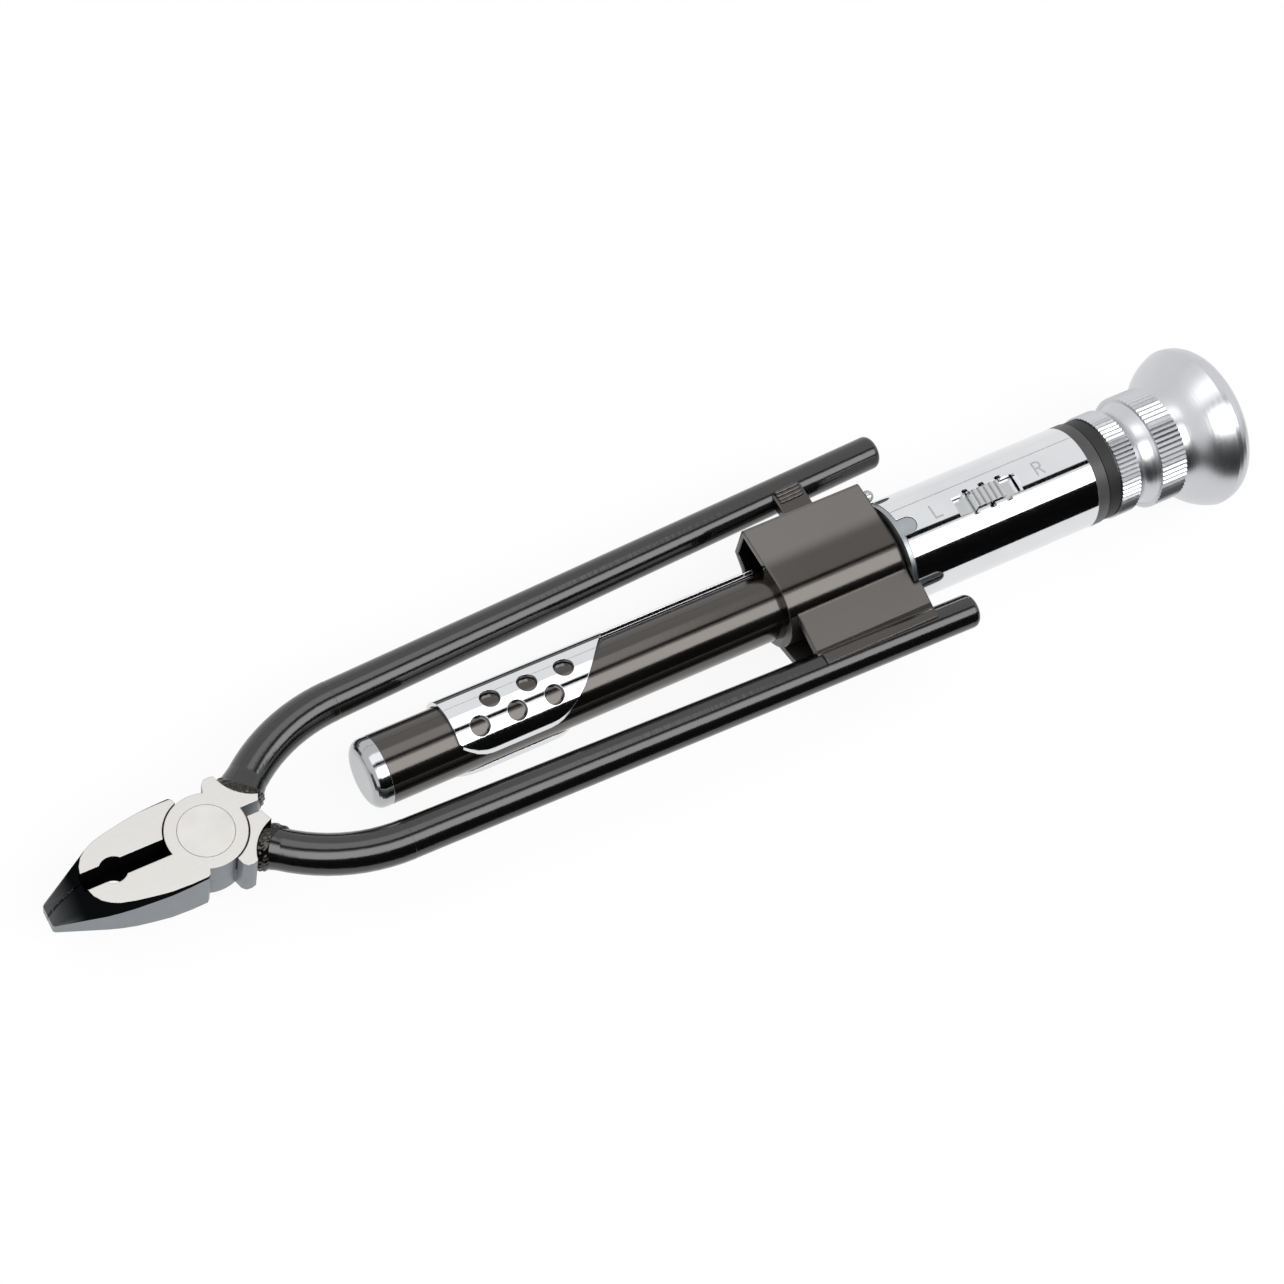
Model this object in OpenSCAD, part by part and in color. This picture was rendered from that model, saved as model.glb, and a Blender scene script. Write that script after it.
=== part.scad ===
// Safety wire pliers with a reversible spiral drive

/* [Head] */
// Thickness of the head
head_t = 10.5; // [9:0.1:12]
// Length from the pivot to the nose
nose_len = 31.2; // [27:0.1:36]
// Half width of the nose tip
tip_half_w = 2.5; // [1.8:0.1:3.5]
// Height of the nose tip
tip_h = 2.6; // [1.8:0.1:4]
// Half width of the jaws
jaw_half_w = 8.95; // [8:0.05:10]
// Radius of the round boss
boss_r = 7.7; // [7:0.05:8.5]
// Gap round the boss
boss_gap = 0.3; // [0.2:0.05:0.6]
// Gap between the two boss layers
lap_gap = 0.1; // [0.04:0.02:0.3]
// Radius of the rivet
rivet_r = 5.3; // [4:0.05:6]
// Running clearance of the rivet
rivet_fit = 0.05; // [0.02:0.01:0.1]
// Half width of the slot between the jaws
slot_half_w = 1.75; // [1.2:0.05:2.5]
// Front end of the slot from the pivot
slot_front = 24.6; // [20:0.1:26]
// Radius of the wire hole
wire_hole_r = 2.68; // [1.8:0.05:3]
// Wire hole from the pivot
wire_hole_x = 18.3; // [16:0.1:20]
// Gap between the closed jaws
jaw_gap = 0.3; // [0.2:0.05:0.6]
// Bevel on the top edge of the jaws
jaw_bevel = 0.8; // [0.3:0.1:1.2]
// Depth of the grip grooves
grip_d = 0.2; // [0.2:0.02:0.6]
// Pitch of the grip grooves
grip_pitch = 1.1; // [0.8:0.1:1.6]

/* [Handles] */
// Radius of the handles at the bend
rod_r = 4.0; // [3.5:0.05:4.5]
// Radius of the handles at the rear end
rod_end_r = 3.5; // [3:0.05:4]
// Rounding of the handle ends
end_round = 1.4; // [0.6:0.1:2.4]
// Start of the straight handles
rod_x = 34; // [30:0.5:40]
// Rear end of the handles
rod_end_x = 161; // [150:0.5:175]
// Moving handle, distance from the middle at the bend
up_y = 17.0; // [16:0.1:19]
// Moving handle, angle to the middle line
up_a = 2.6; // [1:0.1:4]
// Fixed handle, distance from the middle at the bend
low_y = 15.2; // [14:0.1:17]
// Fixed handle, angle to the middle line
low_a = 1.4; // [0.5:0.1:3]
// Radius of the handle bends
bend_r = 36.5; // [30:0.5:42]
// Angle of the handle root
root_a = 40; // [34:1:44]
// Radius of the handle root at the head
root_r = 5.1; // [4.4:0.05:5.2]

/* [Tube] */
// Outer radius of the tube
tube_r = 7.0; // [6.5:0.05:7.5]
// Bore radius of the tube
tube_bore_r = 6.0; // [5.6:0.05:6.3]
// Front end of the tube
tube_x = 35.5; // [33:0.5:40]
// Rear end of the tube
tube_end_x = 156; // [153:0.5:158]
// Length of the cap in front of the tube
cap_len = 3.6; // [2:0.1:5]
// Rounding of the cap
cap_round = 2.4; // [0.8:0.1:3]
// Length of the cap plug
cap_plug = 4; // [2:0.5:6]

/* [Lock] */
// Outer radius of the sleeve
sleeve_r = 8.0; // [7.8:0.05:8.4]
// Gap between sleeve and tube
sleeve_gap = 0.15; // [0.05:0.05:0.3]
// Front edge of the sleeve
sleeve_x = 49.9; // [48:0.1:56]
// Wing edge of the sleeve, half opening on the fixed side
wing_y = 6.85; // [6.2:0.01:7.7]
// Rear end of the wing edge
wing_x = 69; // [64:0.5:74]
// Rear end of the wings at the strip
wing_end_x = 86.5; // [82:0.5:92]
// Radius of the grip holes
grip_hole_r = 2.05; // [1.2:0.05:2.3]
// Pitch of the grip holes
grip_hole_pitch = 8; // [7:0.1:9]
// Width of the strip above the middle
strip_a = 40; // [30:1:45]
// Rear end of the strip
strip_end_x = 146.4; // [144:0.1:147]
// Travel of the lock
lock_travel = 2.8; // [2:0.1:3]
// Front face of the hook
hook_x = 134.4; // [132:0.1:137]
// Width of the hook
hook_w = 6.8; // [5:0.1:7.5]
// Thickness of the hook
hook_t = 2.2; // [2:0.1:3.2]
// Inner end of the hook
hook_y = 8.5; // [8.3:0.1:9]
// Depth of the notch in the hook
hook_notch = 2.8; // [2:0.1:3.2]

/* [Bracket] */
// Front edge of the bracket
bracket_x = 122; // [118:0.5:126]
// Rear edge of the bracket
bracket_end_x = 149.2; // [147.5:0.1:149.4]
// Outer radius round the tube
bracket_r = 9.0; // [8.6:0.05:9.4]
// Width of the latch box
box_y = 13.2; // [12.6:0.1:14]
// Sheet thickness of the box wall
box_t = 1.0; // [0.8:0.1:1.2]
// Sheet thickness of the top plate
plate_t = 1.4; // [1:0.1:1.6]
// Radius of the stop pin
stop_r = 1.05; // [0.8:0.05:1.2]

/* [Barrel] */
// Outer radius of the barrel
barrel_r = 11.0; // [10.6:0.05:11.5]
// Bore radius of the barrel
barrel_bore_r = 9.75; // [9.6:0.05:9.9]
// Front end of the barrel
barrel_x = 150.7; // [150.2:0.1:152]
// Rear end of the barrel
barrel_end_x = 195.3; // [193:0.1:198]
// Thickness of the visible ring
bush_ring_t = 1.0; // [0.8:0.1:1.2]
// Width of the round key
key_w = 3.5; // [2.8:0.1:4.2]
// Length of the round key
key_len = 3.6; // [3:0.1:4.4]
// Gap round the key
key_gap = 0.1; // [0.05:0.05:0.2]
// Position of the key round the barrel
key_a = 92.3; // [85:0.1:100]
// Position of the window round the barrel
window_a = 95; // [85:0.5:105]
// Front end of the window
window_x = 163.7; // [162:0.1:165]
// Length of the window
window_len = 15.3; // [14:0.1:16]
// Width of the window
window_w = 4.2; // [3.6:0.1:5]
// Travel of the selector to each side
selector_travel = 4.0; // [3:0.1:4]
// Length of the button
button_len = 6.8; // [6:0.1:7]
// Top of the button above the axis
button_top = 11.4; // [11.2:0.1:12]
// Length of the black end ring
end_ring_len = 2.7; // [2:0.1:3.5]

/* [Drive] */
// Side of the square spiral shaft
shaft_w = 6.2; // [5.4:0.1:6.6]
// Gap between shaft and nut on each side
shaft_gap = 0.3; // [0.2:0.05:0.4]
// Travel along the axis for one turn
lead = 45; // [36:1:60]
// Journal radius of the nut
journal_r = 5.9; // [5.6:0.05:6]
// Running clearance of the nut and collar
run_fit = 0.06; // [0.03:0.01:0.1]
// Radius of the nut body
nut_r = 6.5; // [6.2:0.05:6.6]
// Number of ratchet teeth
teeth = 24; // [18:1:30]
// Tip radius of the ratchet teeth
tooth_r = 7.5; // [7.3:0.05:7.5]
// Radius of the collar journal on the shaft
collar_pin_r = 2.5; // [2:0.1:2.8]

/* [Knob] */
// Radius of the rim
rim_r = 17.35; // [15:0.05:19]
// Radius of the front knurl
knurl_front_r = 11.2; // [10.6:0.05:11.8]
// Radius of the rear knurl
knurl_rear_r = 12.2; // [11.6:0.05:12.8]
// Number of ribs
ribs = 72; // [48:2:96]
// Depth of the ribs
rib_d = 0.35; // [0.2:0.05:0.5]
// Front end of the knob
knob_x = 201.1; // [200.5:0.1:203]
// Rear end of the knob
knob_end_x = 231.5; // [228:0.1:236]
// Radius of the bumper ring
bumper_r = 10.8; // [10.4:0.05:11.2]

/* [Hidden] */
$fn = 96;
axis_z = head_t / 2;
lap = head_t / 2;
clear_r = boss_r + boss_gap;
sleeve_in_r = tube_r + sleeve_gap;
window_mid = window_x + window_len / 2;
end_ring_x = barrel_end_x + end_ring_len;
bush_x = barrel_x - bush_ring_t;
box_low_z = 0.8;
hook_z = 1.2;
up_cut = 1.6;
low_cut = 0.4;
joint_in = 0.8;
nut_x = tube_end_x + 0.3;
wheel_x = 166;
wheel_len = 10.8;
washer_x = 160.2;
washer_t = 1.0;
plug_x = 187.1;
core = barrel_r / 11;
bore_r = barrel_bore_r * core;
journal = journal_r * core;
nut_body_r = nut_r * core;
tip_r = tooth_r * core;
shaft_side = shaft_w * core;
hub_r = tip_r - 0.1;
plate_n = 8.85 * core;
pin_n = 8.15 * core;
pin_r = 0.3;
stop_y = 10.9 * core;
stop_z = 5.9 * core;
up_len = (rod_end_x - rod_end_r - rod_x) / cos(up_a);
low_len = (rod_end_x - 1 - rod_end_r - rod_x) / cos(low_a);

function bez(p, t) = pow(1 - t, 3) * p[0] + 3 * t * pow(1 - t, 2) * p[1]
    + 3 * t * t * (1 - t) * p[2] + pow(t, 3) * p[3];
function curve(p, n) = [for (i = [0:n]) bez(p, i / n)];
function star(r, d, n) = [for (i = [0:2 * n - 1]) let (a = 180 * i / n, q = i % 2 == 0 ? r : r - d)
    [q * cos(a), q * sin(a)]];

// Round bar along the axis
module bar(x0, x1, r) {
    translate([x0, 0, axis_z])
        rotate([0, 90, 0])
            cylinder(r = r, h = x1 - x0);
}

// Turned shape along the axis
module turned(points) {
    translate([0, 0, axis_z])
        rotate([0, 90, 0])
            rotate_extrude()
                polygon(points);
}

// Flat section pulled along the axis
module pulled(x0, x1) {
    translate([x0, 0, axis_z])
        rotate([90, 0, 90])
            linear_extrude(x1 - x0)
                children();
}

// Place round the axis
module around(a) {
    translate([0, 0, axis_z])
        rotate([a - 90, 0, 0])
            children();
}

// Bar twisted along the axis
module twisted(side, x0, x1) {
    translate([x0, 0, axis_z])
        rotate([0, 90, 0])
            rotate([0, 0, 360 * x0 / lead])
                linear_extrude(x1 - x0, twist = -360 * (x1 - x0) / lead, slices = ceil(x1 - x0), $fn = 4)
                    square(side, center = true);
}

// One jaw on the side of positive Y
module jaw() {
    w = jaw_half_w;
    g = jaw_gap / 2;
    side = [[-26.1, 0.446, 0.36], [-22.2, 0.672, 0.54], [-19.8, 0.768, 0.64], [-17.2, 0.85, 0.73],
        [-13.9, 0.922, 0.82], [-10.7, 0.98, 0.89], [-6.9, 1, 0.95], [-3.6, 0.994, 0.98]];
    outline = concat([[-nose_len, g, tip_h], [-nose_len, tip_half_w - 0.4, tip_h],
        [-nose_len + 0.4, tip_half_w, tip_h]],
        [for (p = side) [p[0], p[1] * w, p[2] * head_t]],
        [[-3.0, 0.927 * w, head_t], [-2.6, 0.782 * w, head_t], [0, g, head_t]]);
    face = concat([[-24.2, g], [-24.1, 0.156 * w], [-23.6, 0.358 * w], [-22.6, 0.53 * w],
        [-21.3, 0.645 * w]],
        [for (i = [2:7]) [side[i][0], side[i][1] * w - 0.4 * jaw_bevel]],
        [[-3.1, 0.9 * w], [-2.7, 0.775 * w], [0, g]]);
    difference() {
        hull() {
            linear_extrude(head_t)
                polygon(face);
            for (i = [0:len(outline) - 2])
                linear_extrude(outline[i][2])
                    polygon([[outline[i][0], outline[i][1]], [outline[i + 1][0], outline[i + 1][1]], [0, g]]);
            for (p = [[-26, 0.89], [-28.4, 0.65]])
                linear_extrude(p[1] * head_t)
                    polygon([[p[0], g], [p[0] + 1, g], [p[0] + 1, g + 0.3]]);
        }
        translate([-slot_front, 0, 0])
            rotate([90, 0, 90])
                linear_extrude(slot_front - 5)
                    polygon([[-slot_half_w, head_t + 1], [slot_half_w, head_t + 1], [slot_half_w, 4],
                        [g, 1], [-g, 1], [-slot_half_w, 4]]);
        translate([-wire_hole_x, 0, -1])
            cylinder(r = wire_hole_r, h = head_t + 2);
        for (i = [0:4])
            translate([-nose_len + 0.9 + i * grip_pitch, g, 0])
                rotate([0, 0, 45])
                    cube([1.42 * grip_d, 1.42 * grip_d, 3 * head_t], center = true);
    }
}

// Shoulder behind the boss, on the side s
module shoulder(s) {
    difference() {
        linear_extrude(head_t)
            polygon([[0, 0], [2.6, 6.8 * s], [3.2, 8.9 * s], [3.9, 9.6 * s], [5.0, 9.7 * s], [6.1, 9.4 * s],
                [12.2, 3.6 * s], [11.5, 2.3 * s], [10.8, 0.5 * s], [7.0, 0.5 * s]]);
        translate([14.5, 11.2 * s, -1])
            cylinder(r = 8.8, h = head_t + 2);
    }
}

// Handle with its bend and root, on the side s
module rod(y, a, len, s) {
    cx = rod_x + bend_r * sin(a);
    cy = y - bend_r * cos(a);
    translate([cx, cy * s, axis_z])
        rotate([0, 0, s > 0 ? 90 + a : -90 - root_a])
            rotate_extrude(angle = root_a - a)
                translate([bend_r, 0])
                    circle(r = rod_r);
    translate([cx - bend_r * sin(root_a), (cy + bend_r * cos(root_a)) * s, axis_z])
        rotate([0, 0, 180 + root_a * s])
            rotate([0, 90, 0])
                translate([0, 0, -joint_in])
                    cylinder(r1 = rod_r - 0.04, r2 = root_r, h = 6.5 + joint_in);
    straight(y, a, len, s);
}

// Straight part of a handle, on the side s
module straight(y, a, len, s) {
    e = len + rod_end_r;
    translate([rod_x, y * s, axis_z])
        rotate([0, 0, a * s])
            rotate([0, 90, 0])
                rotate_extrude()
                    polygon(concat([[0, -joint_in], [rod_r - 0.04, -joint_in], [rod_end_r, e - end_round]],
                        [for (i = [1:5]) [rod_end_r - end_round + end_round * cos(18 * i),
                            e - end_round + end_round * sin(18 * i)]],
                        [[0, e]]));
}

// Handle and shoulder kept clear of the other half
module root_side(y, a, len, s, cut) {
    difference() {
        union() {
            shoulder(s);
            rod(y, a, len, s);
        }
        translate([-10, s > 0 ? cut - 20 : -cut, -1])
            cube([40, 20, head_t + 2]);
    }
}

module fixed_jaw_handle() {
    color("#55585b")
        difference() {
            union() {
                jaw();
                root_side(low_y, low_a, low_len, -1, low_cut);
                cylinder(r = boss_r, h = lap - lap_gap / 2);
            }
            translate([0, 0, lap - lap_gap / 2])
                cylinder(r = clear_r, h = head_t);
            translate([0, 0, -1])
                cylinder(r = rivet_r, h = head_t + 2);
        }
}

module moving_jaw_handle() {
    color("#4b4e51")
        difference() {
            union() {
                mirror([0, 1, 0])
                    jaw();
                root_side(up_y, up_a, up_len, 1, up_cut);
                translate([0, 0, lap + lap_gap / 2])
                    cylinder(r = boss_r, h = lap - lap_gap / 2);
            }
            translate([0, 0, -1])
                cylinder(r = clear_r, h = lap + lap_gap / 2 + 1);
            translate([0, 0, -1])
                cylinder(r = rivet_r + rivet_fit, h = head_t + 2);
        }
}

module pivot_rivet() {
    color("#d9d8d6")
        cylinder(r = rivet_r, h = head_t);
}

module latch_hook() {
    color("#1c1c1d")
        difference() {
            translate([hook_x, hook_y, axis_z + hook_z])
                cube([hook_w, 11.9, hook_t]);
            translate([hook_x + hook_w - hook_notch, hook_y + 1.8, 0])
                cube([hook_notch + 1, 1.9, 2 * head_t]);
            straight(up_y, up_a, up_len, 1);
        }
}

module tube_bracket() {
    color("#2b2928")
        difference() {
            union() {
                pulled(bracket_x, bracket_end_x)
                    difference() {
                        union() {
                            circle(r = bracket_r);
                            polygon([[0, bracket_r], [box_y - 0.5, bracket_r], [box_y, bracket_r - 0.5],
                                [box_y, box_low_z], [box_y - 3.4, box_low_z - 2],
                                [box_y - 4.7, box_low_z - 3.7], [0, 0]]);
                        }
                        polygon([[0, 0], [4.4, bracket_r - plate_t], [box_y - box_t, bracket_r - plate_t],
                            [box_y - box_t, box_low_z + 0.4], [box_y - 3.8, box_low_z - 1],
                            [8, box_low_z - 1.7]]);
                    }
                pulled(bracket_end_x - 2.1, bracket_end_x)
                    translate([9.4, 4.4])
                        square([box_y - box_t - 9.2, bracket_r - plate_t - 4.2]);
                for (s = [0, 1])
                    pulled(bracket_x + 1.8 - 1.8 * s, bracket_end_x + 1.8)
                        mirror([0, s])
                            polygon([[-5.6, 6.9], [-6.9, 5.78], [-16.5, 3.07], [-16.1, 1.6], [-6.4, 4.3]]);
                intersection() {
                    translate([rod_x, -low_y, axis_z])
                        rotate([0, 0, -low_a])
                            rotate([0, 90, 0])
                                translate([0, 0, bracket_x + 2.6 - rod_x])
                                    cylinder(r = rod_r + 0.05, h = bracket_end_x - bracket_x - 1.2);
                    translate([bracket_x, -low_y - 3, -20])
                        cube([40, 3.6, 50]);
                }
            }
            bar(bracket_x - 1, bracket_end_x + 4, tube_r);
            bar(bracket_end_x + 0.2, bracket_end_x + 4, barrel_r + 0.2);
            straight(low_y, low_a, low_len, -1);
            translate([hook_x - 0.7, box_y - 2, axis_z + hook_z - 0.4])
                cube([hook_w + 1, 4, hook_t + 0.8]);
            translate([bracket_x, stop_y, axis_z + stop_z])
                rotate([0, 90, 0])
                    cylinder(r = stop_r, h = 40);
        }
}

module stop_pin() {
    color("#c9cbcd")
        translate([bracket_end_x - 2.6, stop_y, axis_z + stop_z])
            rotate([0, 90, 0]) {
                cylinder(r = stop_r, h = 3.3);
                translate([0, 0, 3.3])
                    sphere(r = stop_r);
            }
}

module guide_tube() {
    color("#1a1a1b")
        difference() {
            bar(tube_x, tube_end_x, tube_r);
            bar(tube_x - 1, tube_end_x + 1, tube_bore_r);
        }
}

module tube_cap() {
    x0 = tube_x - cap_len;
    color("#c9cbcd")
        turned(concat([[0, x0]],
            [for (i = [0:6]) let (a = 15 * i) [tube_r - cap_round + cap_round * sin(a),
                x0 + cap_round - cap_round * cos(a)]],
            [[tube_r, tube_x], [tube_bore_r, tube_x], [tube_bore_r, tube_x + cap_plug],
                [0, tube_x + cap_plug]]));
}

module lock_sleeve() {
    outline = concat([[sleeve_x, 10], [sleeve_x, 2.3 - wing_y], [sleeve_x + 0.5, 1.7 - wing_y],
        [sleeve_x + 1.6, 1.1 - wing_y], [sleeve_x + 3.2, 0.45 - wing_y], [sleeve_x + 5, 0.1 - wing_y],
        [sleeve_x + 6.6, -wing_y]],
        curve([[wing_x, -wing_y], [wing_x + 8, -wing_y], [wing_end_x - 6.5, 0], [wing_end_x, 6.13]], 16),
        [[wing_end_x, 10]]);
    color("#c9cbcd")
        difference() {
            union() {
                intersection() {
                    bar(sleeve_x, wing_end_x + 4, sleeve_r);
                    linear_extrude(40, center = true)
                        polygon(outline);
                }
                intersection() {
                    bar(wing_end_x - 8, strip_end_x, sleeve_r);
                    pulled(wing_end_x - 8, strip_end_x)
                        polygon([[0, 0], [20, -1.05], [20, 20 * tan(strip_a)]]);
                }
            }
            bar(sleeve_x - 1, strip_end_x + 1, sleeve_in_r);
            for (s = [0, 1], i = [0:2])
                translate([0, 0, axis_z])
                    mirror([0, 0, s])
                        translate([0, 0, -axis_z]) {
                            around(79.8)
                                translate([59.2 + i * grip_hole_pitch, 0, 4])
                                    cylinder(r = grip_hole_r, h = 8);
                            around(112)
                                translate([55 + i * grip_hole_pitch, 0, 4])
                                    cylinder(r = grip_hole_r, h = 8);
                        }
        }
}

module lock_catch() {
    tooth_x = hook_x + hook_w + 0.3;
    color("#b7b9bb")
        difference() {
            union() {
                translate([strip_end_x - 2.2, 6.8, axis_z + hook_z + 0.2])
                    cube([2.2, 5.1, 3.2]);
                translate([tooth_x, hook_y + 2, axis_z + hook_z + 0.2])
                    cube([strip_end_x - tooth_x, 1.4, hook_t]);
            }
            bar(bracket_x, strip_end_x + 1, sleeve_r);
        }
}

module front_bush() {
    color("#8d979b")
        difference() {
            union() {
                bar(bush_x, barrel_x, barrel_r - 0.1);
                bar(barrel_x - 0.5, barrel_x + 4.8, bore_r);
                bar(barrel_x, washer_x, tube_r + 0.4);
                intersection() {
                    bar(barrel_x - 0.5, barrel_x + key_len, barrel_r - 0.1);
                    around(key_a) {
                        translate([barrel_x - 0.5, -key_w / 2, 8 * core])
                            cube([key_len - key_w / 2 + 0.5, key_w, 4]);
                        translate([barrel_x + key_len - key_w / 2, 0, 8 * core])
                            cylinder(r = key_w / 2, h = 4);
                    }
                }
            }
            bar(bush_x - 1, tube_end_x, tube_r);
            bar(tube_end_x - 1, washer_x + 1, journal + run_fit);
            around(window_a)
                translate([barrel_x + 2, 0, pin_n])
                    rotate([0, 90, 0])
                        cylinder(r = pin_r, h = 10);
        }
}

module barrel() {
    color("#d5d7d9")
        difference() {
            bar(barrel_x, barrel_end_x, barrel_r);
            bar(barrel_x - 1, barrel_end_x + 1, bore_r);
            around(key_a) {
                translate([barrel_x - 1, -key_w / 2 - key_gap, 8 * core])
                    cube([key_len - key_w / 2 + 1, key_w + 2 * key_gap, 5]);
                translate([barrel_x + key_len - key_w / 2, 0, 8 * core])
                    cylinder(r = key_w / 2 + key_gap, h = 5);
            }
            around(window_a) {
                translate([window_x, -window_w / 2, 8 * core])
                    cube([window_len, window_w, 5]);
                for (i = [-1:1])
                    translate([window_mid + i * selector_travel - 0.7, -window_w / 2 - 0.9, 8 * core])
                        cube([1.4, window_w + 1.8, 5]);
            }
        }
}

module pawl_pin() {
    color("#9a9c9e")
        around(window_a)
            translate([barrel_x + 2, 0, pin_n])
                rotate([0, 90, 0])
                    cylinder(r = pin_r, h = plug_x + 3 - barrel_x - 2);
}

module selector_slider() {
    x0 = window_mid - button_len / 2;
    top_n = button_top * core;
    color("#b4b1ab")
        around(window_a)
            difference() {
                union() {
                    translate([window_mid - 11.2, -2.8, plate_n])
                        cube([22.4, 5.6, 0.3]);
                    translate([x0, -window_w / 2 + 0.2, plate_n])
                        cube([button_len, window_w - 0.4, top_n - plate_n]);
                }
                for (i = [0:4])
                    translate([x0 + button_len * (i + 0.5) / 5, 0, top_n])
                        rotate([0, 45, 0])
                            cube([0.6, 10, 0.6], center = true);
            }
}

module detent_spring() {
    color("#a9a294")
        around(window_a) {
            translate([window_mid - 11, -1, plate_n + 0.3])
                cube([3.2, 2, 0.2]);
            translate([window_mid - 9.6, 0, plate_n + 0.3])
                cylinder(r = 0.6, h = 0.4);
        }
}

module rocker_pawl() {
    color("#77797b")
        around(window_a)
            difference() {
                translate([wheel_x + 0.4, 0, 0])
                    rotate([90, 0, 90])
                        linear_extrude(wheel_len - 0.8)
                            polygon([for (p = [[-2.5, 7.75], [-2.1, 7.75], [-1.7, 8.0], [-0.9, 8.0],
                                [-0.7, 7.66], [0.7, 7.66], [0.9, 8.0], [1.7, 8.0], [2.1, 7.75], [2.5, 7.75],
                                [2.5, 8.35], [0.9, 8.35], [0.7, 8.62], [-0.7, 8.62], [-0.9, 8.35],
                                [-2.5, 8.35]]) core * p]);
                translate([wheel_x - 1, 0, pin_n])
                    rotate([0, 90, 0])
                        cylinder(r = pin_r + 0.04, h = 20);
            }
}

module ratchet_wheel() {
    color("#808285")
        difference() {
            translate([wheel_x, 0, axis_z])
                rotate([0, 90, 0])
                    linear_extrude(wheel_len)
                        polygon(star(tip_r, 0.5, teeth));
            bar(wheel_x - 1, wheel_x + wheel_len + 1, nut_body_r);
        }
}

module drive_nut() {
    color("#a98f55")
        difference() {
            union() {
                bar(nut_x, plug_x + 4, journal);
                bar(washer_x + washer_t + 0.1, plug_x - washer_t - 0.1, nut_body_r);
            }
            twisted(shaft_side + 2 * shaft_gap, nut_x - 2, plug_x + 6);
        }
}

module front_washer() {
    color("#b08d57")
        difference() {
            bar(washer_x, washer_x + washer_t, hub_r);
            bar(washer_x - 1, washer_x + washer_t + 1, journal + 0.2);
        }
}

module rear_washer() {
    color("#b08d57")
        difference() {
            bar(plug_x - washer_t, plug_x, hub_r);
            bar(plug_x - washer_t - 1, plug_x + 1, journal + 0.2);
        }
}

module end_ring() {
    color("#171717")
        difference() {
            union() {
                bar(plug_x, barrel_end_x + 0.5, bore_r);
                bar(barrel_end_x, end_ring_x, barrel_r);
            }
            bar(plug_x - 1, plug_x + 4.4, journal + run_fit);
            bar(plug_x, end_ring_x + 1, 5.0);
            around(window_a)
                translate([plug_x - 1, 0, pin_n])
                    rotate([0, 90, 0])
                        cylinder(r = pin_r, h = 4);
        }
}

module spiral_shaft() {
    color("#8b8d90")
        difference() {
            union() {
                bar(43.4, 54, collar_pin_r);
                twisted(shaft_side, 52.2, knob_x - 2.1);
                bar(knob_x - 3, knob_x + 17.9, 3.0);
            }
            bar(knob_x + 10.4, knob_x + 19, 1.5);
        }
}

module guide_collar() {
    color("#b08d57")
        difference() {
            bar(45, 51.6, tube_bore_r - run_fit);
            bar(44, 53, collar_pin_r + 0.05);
        }
}

module collar_clip() {
    color("#55585b")
        difference() {
            bar(43.7, 44.7, 4.2);
            bar(43, 46, collar_pin_r);
        }
}

module bumper_ring() {
    color("#121212")
        difference() {
            bar(end_ring_x + 0.3, knob_x, bumper_r);
            bar(end_ring_x - 1, knob_x + 1, 5.0);
        }
}

module knob() {
    r = rim_r;
    e = knob_end_x;
    color("#d0d2d4")
        difference() {
            union() {
                turned(concat([[0, knob_x], [knurl_front_r - 0.6, knob_x],
                    [knurl_front_r - 0.6, knob_x + 4.9]],
                    curve([[knurl_front_r - 0.3, knob_x + 4.9], [9.6, knob_x + 6.6], [9.6, knob_x + 8],
                        [knurl_rear_r - 0.9, knob_x + 9.8]], 8),
                    [[knurl_rear_r - 0.6, knob_x + 9.8], [knurl_rear_r - 0.6, knob_x + 15.9]],
                    curve([[knurl_rear_r - 1, knob_x + 16.1], [knurl_rear_r - 0.6, knob_x + 19.1],
                        [r - 1.75, knob_x + 19.5], [r, knob_x + 25.4]], 14),
                    curve([[r, knob_x + 25.4], [r, e - 1.8], [r - 2, e], [r - 5, e]], 8),
                    [[r - 6.5, e - 1], [0, e - 1]]));
                for (b = [[0.3, 4.6, knurl_front_r], [9.8, 6.1, knurl_rear_r]])
                    translate([knob_x + b[0], 0, axis_z])
                        rotate([0, 90, 0])
                            linear_extrude(b[1])
                                polygon(star(b[2], rib_d, ribs));
            }
            bar(knob_x - 1, knob_x + 17.9, 3.0);
            bar(knob_x + 17, e, 1.7);
            bar(e - 4.6, e + 1, 4.1);
        }
}

module knob_screw() {
    color("#3a3b3d")
        difference() {
            union() {
                bar(knob_x + 10.6, knob_end_x - 4.4, 1.5);
                bar(knob_end_x - 4.6, knob_end_x - 1.4, 3.8);
            }
            translate([knob_end_x - 3.4, 0, axis_z])
                rotate([0, 90, 0])
                    linear_extrude(4)
                        circle(r = 1.75, $fn = 6);
        }
}

fixed_jaw_handle();
moving_jaw_handle();
pivot_rivet();
latch_hook();
tube_bracket();
stop_pin();
guide_tube();
tube_cap();
lock_sleeve();
lock_catch();
front_bush();
barrel();
pawl_pin();
selector_slider();
detent_spring();
rocker_pawl();
ratchet_wheel();
drive_nut();
front_washer();
rear_washer();
end_ring();
spiral_shaft();
guide_collar();
collar_clip();
bumper_ring();
knob();
knob_screw();
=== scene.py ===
"""Looks of a pair of safety wire pliers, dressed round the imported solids."""
import logging
import math
from dataclasses import dataclass
from enum import Enum
from typing import Any

import bmesh
import bpy
import numpy as np
from mathutils import Matrix, Vector


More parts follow.
